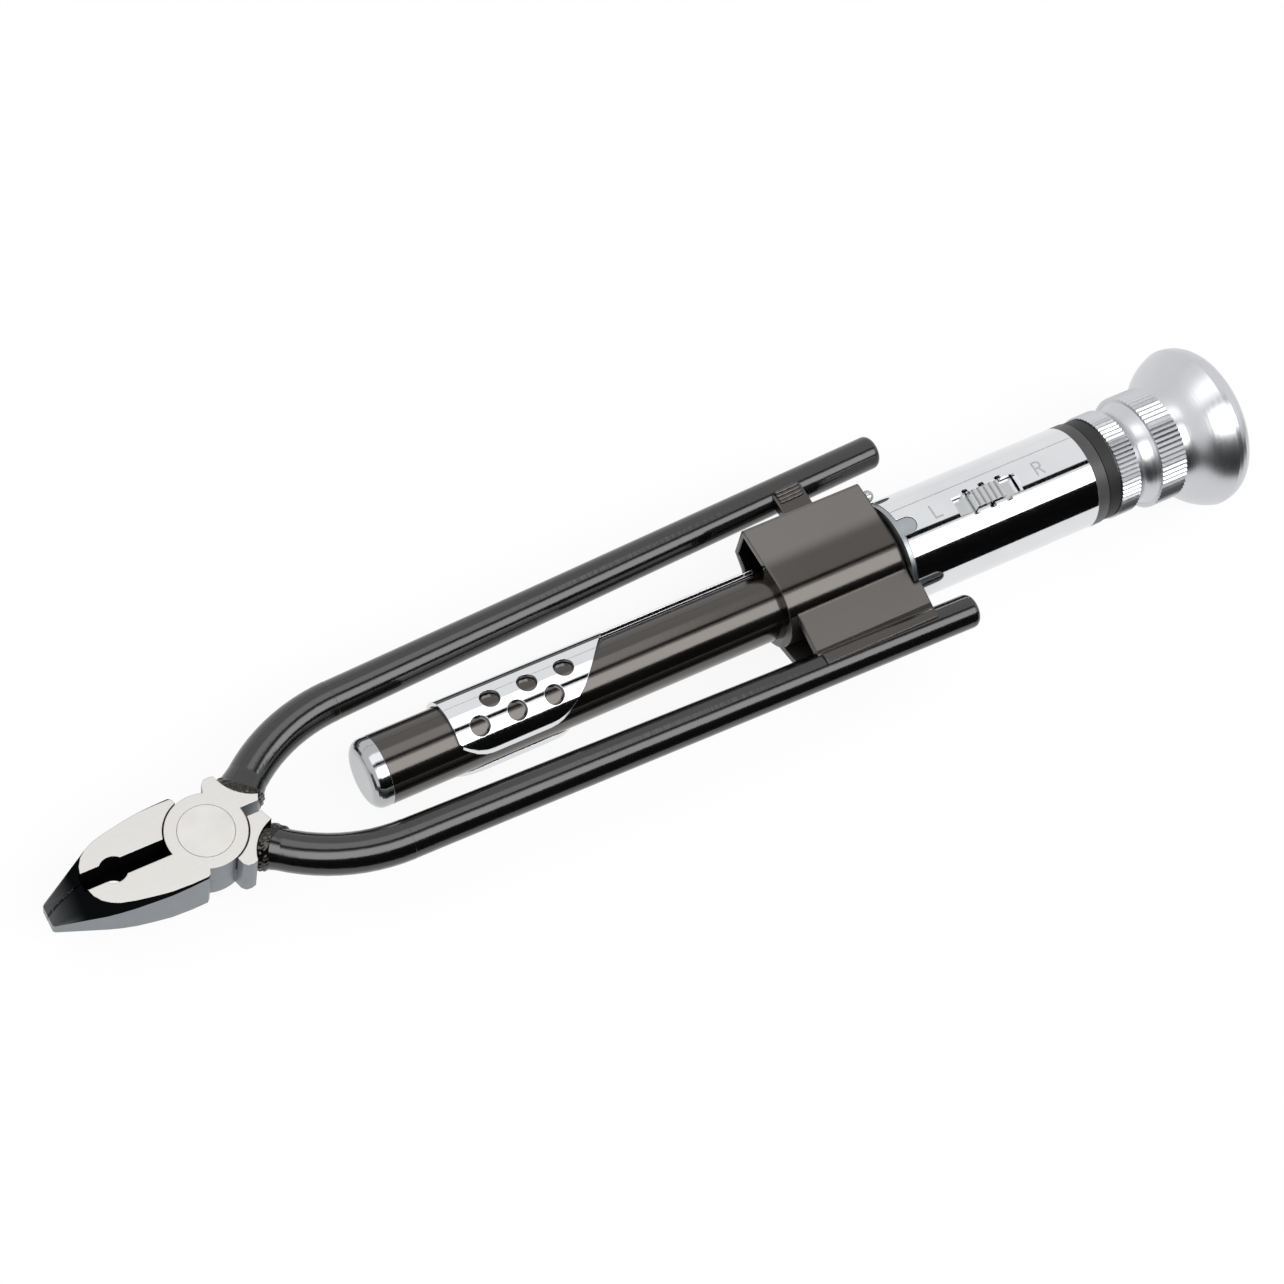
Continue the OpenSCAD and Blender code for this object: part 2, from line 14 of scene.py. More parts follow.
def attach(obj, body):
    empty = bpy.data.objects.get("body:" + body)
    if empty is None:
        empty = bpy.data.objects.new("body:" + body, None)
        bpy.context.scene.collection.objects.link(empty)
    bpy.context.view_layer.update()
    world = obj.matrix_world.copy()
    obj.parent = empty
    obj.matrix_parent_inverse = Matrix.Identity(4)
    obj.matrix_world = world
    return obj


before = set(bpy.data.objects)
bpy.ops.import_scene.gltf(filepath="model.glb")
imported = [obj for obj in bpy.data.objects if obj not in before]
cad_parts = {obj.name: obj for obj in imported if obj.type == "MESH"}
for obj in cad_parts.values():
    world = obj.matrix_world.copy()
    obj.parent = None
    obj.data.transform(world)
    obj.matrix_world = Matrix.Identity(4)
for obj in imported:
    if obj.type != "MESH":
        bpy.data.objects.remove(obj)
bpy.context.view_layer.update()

# Metres in a millimetre, and the distance in metres below which points are one
MM = 0.001
MERGE = 1e-7
# Side of the photograph in pixels, and width of the camera's film in millimetres
PHOTO_SIDE = 1284
FILM_MM = 36.0
# Height of the tool's axis in millimetres
AXIS_Z = 5.25
WHITE = (1.0, 1.0, 1.0, 1.0)

# Settings of nodes; a Mix takes its share at 0, numbers at 2 and 3 and colours at 6 and 7
SMOOTH = {"interpolation_type": "SMOOTHSTEP"}
TIMES = {"operation": "MULTIPLY"}
MOST = {"operation": "MAXIMUM"}
NUMBER = {"data_type": "FLOAT"}
COLOUR = {"data_type": "RGBA"}
SAMPLES = {"samples": 6}

log = logging.getLogger("pliers")


class Body(Enum):
    """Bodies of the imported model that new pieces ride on."""

    FRAME = "frame"
    MOVING = "moving_half"


def linear(hex_code: str) -> tuple[float, float, float, float]:
    """Turns an sRGB hex colour into linear values.

    Args:
        hex_code: colour such as "#1A2B3C".
    Returns:
        Linear red, green, blue and an alpha of one.
    """
    parts = [int(hex_code[i:i + 2], 16) / 255 for i in (1, 3, 5)]
    r, g, b = (c / 12.92 if c <= 0.04045 else ((c + 0.055) / 1.055) ** 2.4 for c in parts)
    return r, g, b, 1.0


def add(tree: bpy.types.NodeTree, kind: str, props: dict[str, Any] | None = None,
        inputs: dict[Any, Any] | None = None) -> bpy.types.Node:
    """Adds one node, sets its properties and fills or links its inputs.

    Args:
        tree: the node tree.
        kind: the node's type name without its ShaderNode prefix.
        props: settings of the node itself.
        inputs: values or output sockets by input name or number.
    Returns:
        The new node.
    """
    made = tree.nodes.new("ShaderNode" + kind)
    for key, value in (props or {}).items():
        setattr(made, key, value)
    for key, value in (inputs or {}).items():
        if isinstance(value, bpy.types.NodeSocket):
            tree.links.new(value, made.inputs[key])
        else:
            made.inputs[key].default_value = value
    return made


def fresh(name: str) -> tuple[bpy.types.Material, bpy.types.NodeTree, bpy.types.Node, Any]:
    """Makes an empty node material.

    Args:
        name: the material's name.
    Returns:
        The material, its tree, its shader and its Object coordinates.
    """
    material = bpy.data.materials.new(name)
    material.use_nodes = True
    tree = material.node_tree
    tree.nodes.clear()
    shader = add(tree, "BsdfPrincipled")
    add(tree, "OutputMaterial", inputs={"Surface": shader.outputs["BSDF"]})
    place = add(tree, "TexCoord").outputs["Object"]
    return material, tree, shader, place


@dataclass(frozen=True)
class ForgedPlierSteel:
    """Forged steel: ground on the head's top, black on its bevels, grey on its sides, enamelled handles;
    painted shade in black on the walls of the slot and the wire hole and along the parting line of the jaws,
    and a painted sheen that lightens the bevels towards the tip.

    A pair of sizes or slopes gives where a region starts and where it is full.
    """

    name: str = "forged_plier_steel"
    ground: tuple[str, str] = ("#B2B0AD", "#C2C0BD")
    side: tuple[str, str] = ("#7A7E82", "#8E9296")
    # Black of the bevels, and the lighter grey of a painted sheen towards the tip
    bevel: tuple[str, str] = ("#0A0B0C", "#4E5052")
    enamel: str = "#080808"
    high_mm: tuple[float, float] = (10.4, 10.45)
    arc_mm: tuple[float, float, float] = (14.5, 11.2, 0.0)
    arc_r_mm: tuple[float, float] = (9.0, 8.85)
    behind_mm: tuple[float, float] = (13.4, 14.0)
    front_mm: tuple[float, float] = (-2.3, -2.8)
    slot_side_mm: tuple[float, float] = (3.3, 3.1)
    slot_end_mm: tuple[float, float] = (-26.2, -25.8)
    nose_mm: tuple[float, float] = (-25.5, -35.5)
    seam_mm: tuple[float, float] = (0.32, 0.22)
    level_slope: tuple[float, float] = (0.96, 0.99)
    tilted_slope: tuple[float, float] = (0.03, 0.05)
    grain_mm: float = 0.35
    grain_stretch: tuple[float, float, float] = (0.12, 1.0, 1.0)
    cloud_mm: float = 3.5
    ripple_mm: float = 1.0
    ripple_stretch: tuple[float, float, float] = (1.0, 0.2, 0.2)
    enamel_roughness: tuple[float, float] = (0.1, 0.2)
    side_roughness: tuple[float, float] = (0.36, 0.5)
    bevel_roughness: float = 0.22
    ground_roughness: tuple[float, float] = (0.28, 0.42)
    side_metallic: float = 0.85
    ground_metallic: float = 0.92
    relief_mm: float = 0.6
    ripple_relief: float = 0.07
    grain_relief: float = 0.02
    edge_mm: float = 0.2
    coat_shine: float = 0.4
    nose_shine: float = 0.3
    ior: float = 1.8

    def material(self) -> bpy.types.Material:
        """Builds the material.

        Returns:
            Material whose masks follow place and slope of the surface.
        """
        material, tree, shader, place = fresh(self.name)
        at = add(tree, "SeparateXYZ", inputs={0: place}).outputs
        facing = add(tree, "NewGeometry").outputs["True Normal"]
        slope = add(tree, "SeparateXYZ", inputs={0: facing}).outputs["Z"]
        off = add(tree, "Math", {"operation": "ABSOLUTE"}, {0: at["Y"]}).outputs[0]
        plan = add(tree, "CombineXYZ", inputs={"X": at["X"], "Y": off}).outputs[0]
        reach = add(tree, "VectorMath", {"operation": "DISTANCE"},
                    {0: plan, 1: tuple(c * MM for c in self.arc_mm)}).outputs["Value"]
        ramps = ((reach, self.arc_r_mm), (at["X"], self.behind_mm), (at["Z"], self.high_mm),
                 (at["X"], self.front_mm), (off, self.slot_side_mm), (at["X"], self.slot_end_mm),
                 (at["X"], self.nose_mm), (off, self.seam_mm))
        in_arc, behind, high, front, inner, long, nose, seam = (
            add(tree, "MapRange", SMOOTH, {"Value": value, "From Min": start * MM,
                                           "From Max": full * MM}).outputs[0]
            for value, (start, full) in ramps)
        level, tilted = (
            add(tree, "MapRange", SMOOTH, {"Value": slope, "From Min": start, "From Max": full}).outputs[0]
            for start, full in (self.level_slope, self.tilted_slope))
        painted = add(tree, "Math", MOST, {0: in_arc, 1: behind}).outputs[0]
        ground = add(tree, "Math", TIMES, {0: high, 1: level}).outputs[0]
        # Painted shade: the walls of the slot and of the wire hole are coloured black, where shade falls
        # into them
        slot = add(tree, "Math", TIMES, {0: inner, 1: long}).outputs[0]
        scale_and_slot_shade = add(tree, "Math", MOST, {0: tilted, 1: slot}).outputs[0]
        black = add(tree, "Math", TIMES, {0: scale_and_slot_shade, 1: front}).outputs[0]
        seam = add(tree, "Math", TIMES, {0: seam, 1: front}).outputs[0]
        coated_and_shaded = add(tree, "Math", MOST, {0: black, 1: painted}).outputs[0]
        # Grinding lines, drawn coarser than the real ones so that they show
        lines = add(tree, "Mapping", inputs={"Vector": place, "Scale": self.grain_stretch}).outputs[0]
        grain = add(tree, "TexNoise", inputs={"Vector": lines, "Scale": 1 / (self.grain_mm * MM),
                                              "Detail": 4.0, "Roughness": 0.6}).outputs["Fac"]
        cloud = add(tree, "TexNoise", inputs={"Vector": place, "Scale": 1 / (self.cloud_mm * MM),
                                              "Detail": 3.0}).outputs["Fac"]
        # Ripple across the forging and under the enamel
        ribs = add(tree, "Mapping", inputs={"Vector": place, "Scale": self.ripple_stretch}).outputs[0]
        ripple = add(tree, "TexNoise", inputs={"Vector": ribs, "Scale": 1 / (self.ripple_mm * MM),
                                               "Detail": 3.0}).outputs["Fac"]
        # Colours
        steel = add(tree, "Mix", COLOUR, {0: cloud, 6: linear(self.side[0]),
                                          7: linear(self.side[1])}).outputs[2]
        # Painted sheen: the bevels are coloured lighter towards the tip, where their ribs catch the light
        dark_tint = add(tree, "Mix", COLOUR, {0: nose, 6: linear(self.bevel[0]),
                                          7: linear(self.bevel[1])}).outputs[2]
        # Painted shade: a dark line along the parting line of the jaws, where shade falls into the gap
        # between them
        dark_tint = add(tree, "Mix", COLOUR, {0: seam, 6: dark_tint, 7: linear(self.bevel[0])}).outputs[2]
        steel = add(tree, "Mix", COLOUR, {0: black, 6: steel, 7: dark_tint}).outputs[2]
        steel = add(tree, "Mix", COLOUR, {0: painted, 6: steel, 7: linear(self.enamel)}).outputs[2]
        bright = add(tree, "Mix", COLOUR, {0: grain, 6: linear(self.ground[0]),
                                           7: linear(self.ground[1])}).outputs[2]
        tint = add(tree, "Mix", COLOUR, {0: ground, 6: steel, 7: bright}).outputs[2]
        # Roughness
        gloss = add(tree, "Mix", NUMBER, {0: cloud, 2: self.enamel_roughness[0],
                                          3: self.enamel_roughness[1]}).outputs[0]
        dull = add(tree, "Mix", NUMBER, {0: cloud, 2: self.side_roughness[0],
                                         3: self.side_roughness[1]}).outputs[0]
        dull = add(tree, "Mix", NUMBER, {0: black, 2: dull, 3: self.bevel_roughness}).outputs[0]
        dull = add(tree, "Mix", NUMBER, {0: painted, 2: dull, 3: gloss}).outputs[0]
        satin = add(tree, "Mix", NUMBER, {0: grain, 2: self.ground_roughness[0],
                                          3: self.ground_roughness[1]}).outputs[0]
        rough = add(tree, "Mix", NUMBER, {0: ground, 2: dull, 3: satin}).outputs[0]
        # Bare metal shows only on the sides and the ground face; scale, enamel and the painted shade in the
        # slot are not metal
        metal = add(tree, "Mix", NUMBER, {0: coated_and_shaded, 2: self.side_metallic, 3: 0.0}).outputs[0]
        metal = add(tree, "Mix", NUMBER, {0: ground, 2: metal, 3: self.ground_metallic}).outputs[0]
        # Relief
        rise = add(tree, "Mix", NUMBER, {0: ground, 2: ripple, 3: grain}).outputs[0]
        depth = add(tree, "Mix", NUMBER, {0: ground, 2: self.ripple_relief,
                                          3: self.grain_relief}).outputs[0]
        edge = add(tree, "Bevel", SAMPLES, {"Radius": self.edge_mm * MM}).outputs[0]
        bump = add(tree, "Bump", inputs={"Height": rise, "Distance": self.relief_mm * MM,
                                         "Strength": depth, "Normal": edge}).outputs[0]
        # Shine, none on the walls of the slot and along the seam, so that their painted shade stays black
        glint = add(tree, "Mix", NUMBER, {0: nose, 2: 0.0, 3: self.nose_shine}).outputs[0]
        shine = add(tree, "Mix", NUMBER, {0: black, 2: self.coat_shine, 3: glint}).outputs[0]
        wall = add(tree, "Math", {"operation": "SUBTRACT"}, {0: slot, 1: tilted}).outputs[0]
        wall = add(tree, "Math", MOST, {0: wall, 1: seam}).outputs[0]
        shine = add(tree, "Mix", NUMBER, {0: wall, 2: shine, 3: 0.0}).outputs[0]
        for socket, value in {"Base Color": tint, "Roughness": rough, "Metallic": metal, "Normal": bump,
                              "Specular IOR Level": shine}.items():
            tree.links.new(value, shader.inputs[socket])
        shader.inputs["IOR"].default_value = self.ior
        return material


@dataclass(frozen=True)
class GlossEnamel:
    """Gloss black enamel sprayed on steel: a faint orange peel and bright lines on its rounded edges."""

    name: str = "gloss_black_enamel"
    colour: tuple[str, str] = ("#060505", "#0D0B0A")
    glare: str = "#FFF8F2"
    tone_mm: float = 14.0
    peel_mm: float = 1.6
    peel_depth_mm: float = 0.03
    peel: float = 0.2
    edge_mm: float = 0.35
    roughness: tuple[float, float] = (0.1, 0.18)
    ior: float = 1.8
    shine: float = 0.5

    def polish(self, tree: bpy.types.NodeTree, shader: bpy.types.Node, place: Any, gloss: Any,
               edge: Any) -> None:
        """Gives the shader the same shine all over.

        Args:
            tree: the node tree.
            shader: the surface shader.
            place: Object coordinates; not used here.
            gloss: roughness of the bare coat.
            edge: surface direction, rounded at the edges; not used here.
        """
        tree.links.new(gloss, shader.inputs["Roughness"])
        shader.inputs["Specular IOR Level"].default_value = self.shine

    def material(self) -> bpy.types.Material:
        """Builds the material.

        Returns:
            Material with a soft cloud in tone and gloss.
        """
        material, tree, shader, place = fresh(self.name)
        peel = add(tree, "TexNoise", inputs={"Vector": place, "Scale": 1 / (self.peel_mm * MM),
                                             "Detail": 2.0}).outputs["Fac"]
        tone = add(tree, "TexNoise", inputs={"Vector": place, "Scale": 1 / (self.tone_mm * MM),
                                             "Detail": 3.0}).outputs["Fac"]
        tint = add(tree, "Mix", COLOUR, {0: tone, 6: linear(self.colour[0]),
                                         7: linear(self.colour[1])}).outputs[2]
        gloss = add(tree, "Mix", NUMBER, {0: tone, 2: self.roughness[0], 3: self.roughness[1]}).outputs[0]
        edge = add(tree, "Bevel", SAMPLES, {"Radius": self.edge_mm * MM}).outputs[0]
        bump = add(tree, "Bump", inputs={"Height": peel, "Distance": self.peel_depth_mm * MM,
                                         "Strength": self.peel, "Normal": edge}).outputs[0]
        tree.links.new(tint, shader.inputs["Base Color"])
        tree.links.new(bump, shader.inputs["Normal"])
        shader.inputs["Specular Tint"].default_value = linear(self.glare)
        shader.inputs["IOR"].default_value = self.ior
        self.polish(tree, shader, place, gloss, edge)
        return material


@dataclass(frozen=True)
class SheetEnamel(GlossEnamel):
    """The same enamel on the bent sheet, duller where the sheet is flat.

    A pair of sizes or slopes gives where a region starts and where it is full.
    """

    name: str = "sheet_black_enamel"
    edge_mm: float = 0.55
    flat_roughness: float = 0.42
    plate_shine: float = 0.95
    flange_shine: float = 0.62
    plate_mm: tuple[float, float] = (2.5, 6.0)
    flange_mm: tuple[float, float] = (-6.85, -7.1)
    wrap_mm: tuple[float, float] = (-14.75, -14.55)
    flat_slope: tuple[float, float] = (0.95, 0.995)
    level_slope: tuple[float, float] = (0.985, 0.995)

    def polish(self, tree: bpy.types.NodeTree, shader: bpy.types.Node, place: Any, gloss: Any,
               edge: Any) -> None:
        """Gives the flat faces a duller coat than the bends and the wrap round the handle.

        Args:
            tree: the node tree.
            shader: the surface shader.
            place: Object coordinates.
            gloss: roughness of the bare coat.
            edge: surface direction, rounded at the edges.
        """
        across = add(tree, "SeparateXYZ", inputs={0: place}).outputs["Y"]
        facing = add(tree, "NewGeometry").outputs["True Normal"]
        slope = add(tree, "SeparateXYZ", inputs={0: facing}).outputs["Z"]
        agree = add(tree, "VectorMath", {"operation": "DOT_PRODUCT"}, {0: edge, 1: facing}).outputs["Value"]
        plate, flange, wrap = (
            add(tree, "MapRange", SMOOTH, {"Value": across, "From Min": start * MM,
                                           "From Max": full * MM}).outputs[0]
            for start, full in (self.plate_mm, self.flange_mm, self.wrap_mm))
        flat, level = (
            add(tree, "MapRange", SMOOTH, {"Value": value, "From Min": start, "From Max": full}).outputs[0]
            for value, (start, full) in ((agree, self.flat_slope), (slope, self.level_slope)))
        level = add(tree, "Math", TIMES, {0: level, 1: flat}).outputs[0]
        plate = add(tree, "Math", TIMES, {0: plate, 1: level}).outputs[0]
        flange = add(tree, "Math", TIMES, {0: flange, 1: wrap}).outputs[0]
        flange = add(tree, "Math", TIMES, {0: flange, 1: flat}).outputs[0]
        flats = add(tree, "Math", MOST, {0: plate, 1: flange}).outputs[0]
        rough = add(tree, "Mix", NUMBER, {0: flats, 2: gloss, 3: self.flat_roughness}).outputs[0]
        shine = add(tree, "Mix", NUMBER, {0: plate, 2: self.shine, 3: self.plate_shine}).outputs[0]
        shine = add(tree, "Mix", NUMBER, {0: flange, 2: shine, 3: self.flange_shine}).outputs[0]
        tree.links.new(rough, shader.inputs["Roughness"])
        tree.links.new(shine, shader.inputs["Specular IOR Level"])


@dataclass(frozen=True)
class LinedMetal:
    """Bare or plated metal: fine lines along one direction in its gloss, a cloudy tone and painted shade in
    its hollows, found by ambient occlusion.
    """

    name: str
    colour: tuple[str, str]
    roughness: tuple[float, float]
    # Real polishing and turning lines are finer; these are drawn as wide as they need to show
    line_mm: float = 0.3
    stretch: tuple[float, float, float] = (1.0, 0.08, 0.08)
    bump: float = 0.15
    cloud_mm: float = 4.0
    edge_mm: float = 0.15
    line_depth_mm: float = 0.02
    # Painted shade in hollows and crevices: its colour, how far ambient occlusion looks, and the occlusion
    # where the shade is full and where it is gone
    painted_shade: str = "#24211F"
    painted_shade_mm: float = 0.5
    painted_shade_range: tuple[float, float] = (0.3, 0.85)

    def material(self) -> bpy.types.Material:
        """Builds the material.

        Returns:
            Metal whose roughness follows the lines.
        """
        material, tree, shader, place = fresh(self.name)
        drawn = add(tree, "Mapping", inputs={"Vector": place, "Scale": self.stretch}).outputs[0]
        lines = add(tree, "TexNoise", inputs={"Vector": drawn, "Scale": 1 / (self.line_mm * MM),
                                              "Detail": 4.0}).outputs["Fac"]
        tone = add(tree, "TexNoise", inputs={"Vector": place, "Scale": 1 / (self.cloud_mm * MM),
                                             "Detail": 3.0}).outputs["Fac"]
        tint = add(tree, "Mix", COLOUR, {0: tone, 6: linear(self.colour[0]),
                                         7: linear(self.colour[1])}).outputs[2]
        # Painted shade: where ambient occlusion finds a hollow, the colour turns darker
        hollow = add(tree, "AmbientOcclusion", SAMPLES, {"Distance": self.painted_shade_mm * MM}).outputs["AO"]
        unshaded = add(tree, "MapRange", SMOOTH, {"Value": hollow, "From Min": self.painted_shade_range[0],
                                               "From Max": self.painted_shade_range[1]}).outputs[0]
        tint = add(tree, "Mix", COLOUR, {0: unshaded, 6: linear(self.painted_shade), 7: tint}).outputs[2]
        rough = add(tree, "Mix", NUMBER, {0: lines, 2: self.roughness[0], 3: self.roughness[1]}).outputs[0]
        edge = add(tree, "Bevel", SAMPLES, {"Radius": self.edge_mm * MM}).outputs[0]
        bump = add(tree, "Bump", inputs={"Height": lines, "Distance": self.line_depth_mm * MM,
                                         "Strength": self.bump, "Normal": edge}).outputs[0]
        for socket, value in {"Base Color": tint, "Roughness": rough, "Normal": bump}.items():
            tree.links.new(value, shader.inputs[socket])
        shader.inputs["Metallic"].default_value = 1.0
        return material


@dataclass(frozen=True)
class DeadBlack:
    """Black flocked card of the studio: no gloss at all."""

    name: str = "black_card"
    colour: str = "#0A0A0A"

    def material(self) -> bpy.types.Material:
        """Builds the material.

        Returns:
            Black material without a reflection.
        """
        material, _, shader, _ = fresh(self.name)
        shader.inputs["Base Color"].default_value = linear(self.colour)
        shader.inputs["Roughness"].default_value = 1.0
        shader.inputs["Specular IOR Level"].default_value = 0.0
        return material


@dataclass(frozen=True)
class DullCoat:
    """Plastic, rubber or paint: a dull fine grain."""

    name: str
    colour: tuple[str, str]
    roughness: tuple[float, float]
    # The real grain of a mould is finer; this one is drawn as coarse as it needs to show
    grain_mm: float = 0.25
    grain_depth_mm: float = 0.03
    grain: float = 0.3
    tone_mm: float = 5.0

    def material(self) -> bpy.types.Material:
        """Builds the material.

        Returns:
            Dull material with a fine grain.
        """
        material, tree, shader, place = fresh(self.name)
        grain = add(tree, "TexNoise", inputs={"Vector": place, "Scale": 1 / (self.grain_mm * MM),
                                              "Detail": 3.0}).outputs["Fac"]
        tone = add(tree, "TexNoise", inputs={"Vector": place, "Scale": 1 / (self.tone_mm * MM),
                                             "Detail": 2.0}).outputs["Fac"]
        tint = add(tree, "Mix", COLOUR, {0: tone, 6: linear(self.colour[0]),
                                         7: linear(self.colour[1])}).outputs[2]
        rough = add(tree, "Mix", NUMBER, {0: grain, 2: self.roughness[0], 3: self.roughness[1]}).outputs[0]
        bump = add(tree, "Bump", inputs={"Height": grain, "Distance": self.grain_depth_mm * MM,
                                         "Strength": self.grain}).outputs[0]
        for socket, value in {"Base Color": tint, "Roughness": rough, "Normal": bump}.items():
            tree.links.new(value, shader.inputs[socket])
        return material


Finish = ForgedPlierSteel | GlossEnamel | LinedMetal | DeadBlack | DullCoat

# Forged steel, partly ground and enamelled: a pale brushed head, black bevels and dark glossy handles
PLIER_STEEL = ForgedPlierSteel()
# Sprayed enamel on round tube: a deep black with long sharp reflections
TUBE_ENAMEL = GlossEnamel()
# The same enamel where it ran thick: darker, with small sharp glints on its wrinkles
THICK_ENAMEL = GlossEnamel("thick_black_enamel", roughness=(0.06, 0.12), shine=0.22)
# The same coat on bent sheet: soft grey flats between black bends
SHEET_ENAMEL = SheetEnamel()
# Polished nickel chrome plate: a mirror with faint lines round the axis
MIRROR_PLATE = LinedMetal("mirror_plate", ("#E2E3E5", "#D3D5D8"), (0.04, 0.1), line_mm=0.5,
                          stretch=(1.0, 0.06, 0.06), bump=0.05, cloud_mm=9.0)
# Bright plate on the cap, the stop pin and its ball: a greyer mirror, whose darker colour is painted shade
# standing in for the shaded surroundings it mirrors
BRIGHT_CAP = LinedMetal("bright_cap_plate", ("#B6B7B9", "#A8AAAC"), (0.08, 0.16), line_mm=0.5,
                        stretch=(1.0, 0.06, 0.06), bump=0.1, cloud_mm=6.0)
# Turned and tumbled steel: a soft grey shine
SATIN_STEEL = LinedMetal("satin_steel", ("#A6ABAD", "#8F9598"), (0.28, 0.42))
# Nickelled pressed steel: bright ribs with crisp edges, and painted shade in the grooves between them
BUTTON_STEEL = LinedMetal("button_steel", ("#C9CACB", "#B4B6B7"), (0.12, 0.22), edge_mm=0.05, painted_shade_mm=0.9)
# Rivet ground flush with the head: pale, with the same grinding lines
GROUND_RIVET = LinedMetal("ground_rivet_steel", ("#C2C0BD", "#B2B0AD"), (0.28, 0.42), line_mm=0.35,
                          stretch=(0.12, 1.0, 1.0))
# Turned bronze: a warm satin metal, hidden at rest
TURNED_BRONZE = LinedMetal("turned_bronze", ("#B08D57", "#94743F"), (0.25, 0.4))
# Turned and clear anodised aluminium: a pale satin with rings of soft light
KNURLED_ALUMINIUM = LinedMetal("knurled_aluminium", ("#CFD0D3", "#C3C5C8"), (0.25, 0.35), line_mm=0.4,
                               stretch=(1.0, 0.05, 0.05), bump=0.06, cloud_mm=12.0, edge_mm=0.06)
# Moulded nylon: dark grey with a low sheen
RING_PLASTIC = DullCoat("ring_plastic", ("#353535", "#424242"), (0.35, 0.5))
# Moulded rubber: nearly black and dull
BUMPER_RUBBER = DullCoat("bumper_rubber", ("#0A0A0A", "#121212"), (0.5, 0.7))
# Paint in an etched letter: dull grey against the mirror
MARK_PAINT = DullCoat("mark_paint", ("#98989B", "#A8A8AB"), (0.5, 0.6))
# Flocked card: swallows light, so that plate and enamel get their black bands
BLACK_CARD = DeadBlack()

NODE_FINISH: dict[str, Finish] = {
    "fixed_jaw_handle": PLIER_STEEL, "moving_jaw_handle": PLIER_STEEL, "pivot_rivet": GROUND_RIVET,
    "latch_hook": TUBE_ENAMEL, "tube_bracket": SHEET_ENAMEL, "stop_pin": BRIGHT_CAP,
    "guide_tube": TUBE_ENAMEL, "tube_cap": BRIGHT_CAP, "lock_sleeve": MIRROR_PLATE,
    "lock_catch": MIRROR_PLATE, "front_bush": SATIN_STEEL, "barrel": MIRROR_PLATE,
    "pawl_pin": SATIN_STEEL, "selector_slider": BUTTON_STEEL, "detent_spring": BUTTON_STEEL,
    "rocker_pawl": SATIN_STEEL, "ratchet_wheel": SATIN_STEEL, "drive_nut": TURNED_BRONZE,
    "front_washer": TURNED_BRONZE, "rear_washer": TURNED_BRONZE, "end_ring": RING_PLASTIC,
    "spiral_shaft": SATIN_STEEL, "guide_collar": TURNED_BRONZE, "collar_clip": SATIN_STEEL,
    "bumper_ring": BUMPER_RUBBER, "knob": KNURLED_ALUMINIUM, "knob_screw": SATIN_STEEL,
}


class Paintbox:
    """Keeps one material for each finish."""

    def __init__(self) -> None:
        """Starts with no materials."""
        self.made: dict[str, bpy.types.Material] = {}

    def get(self, finish: Finish) -> bpy.types.Material:
        """Gives the material of a finish, built once.

        Args:
            finish: the finish.
        Returns:
            Its material.
        """
        if finish.name not in self.made:
            self.made[finish.name] = finish.material()
        return self.made[finish.name]


PAINT = Paintbox()


def sheet_mesh(name: str, grids: list[np.ndarray], closed: bool = False) -> bpy.types.Object:
    """Puts grids of points into one smooth mesh object.

    Args:
        name: the object's name.
        grids: arrays of rows by columns by three, in millimetres in the row frame.
        closed: whether the columns run round and close.
    Returns:
        The new object, at the origin.
    """
    points, faces, first = [], [], 0
    for grid in grids:
        rows, cols = grid.shape[:2]
        index = first + np.arange(rows * cols).reshape(rows, cols)
        start = index if closed else index[:, :-1]
        across = np.roll(index, -1, axis=1) if closed else index[:, 1:]
        faces.append(np.stack([start[:-1], start[1:], across[1:], across[:-1]], axis=-1).reshape(-1, 4))
        points.append(grid.reshape(-1, 3) * MM)
        first += rows * cols
    mesh = bpy.data.meshes.new(name)
    mesh.from_pydata(np.concatenate(points).tolist(), [], np.concatenate(faces).tolist())
    joined = bmesh.new()
    joined.from_mesh(mesh)
    bmesh.ops.remove_doubles(joined, verts=joined.verts, dist=MERGE)
    joined.to_mesh(mesh)
    joined.free()
    mesh.polygons.foreach_set("use_smooth", np.ones(len(mesh.polygons), bool))
    mesh.update()
    made = bpy.data.objects.new(name, mesh)
    bpy.context.scene.collection.objects.link(made)
    return made


def finish_piece(piece: bpy.types.Object, finish: Finish, body: Body) -> bpy.types.Object:
    """Gives a new piece its finish and the body it rides on.

    Args:
        piece: the new object.
        finish: its finish.
        body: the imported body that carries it.
    Returns:
        The same object.
    """
    piece.data.materials.clear()
    piece.data.materials.append(PAINT.get(finish))
    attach(piece, body.value)
    log.info("piece %s rides on %s", piece.name, body.value)
    return piece


def round_ends(s: np.ndarray, power: int = 12) -> np.ndarray:
    """Gives the size along a stroke that is full in the middle and shrinks to a point at both ends.

    The formula is the root of one less a high power of the distance from the middle.

    Args:
        s: place along the stroke, from 0 to 1.
        power: how late the stroke starts to shrink.
    Returns:
        The size at each place, from 0 to 1.
    """
    return np.sqrt(np.clip(1 - np.abs(2 * s - 1) ** power, 0, 1))


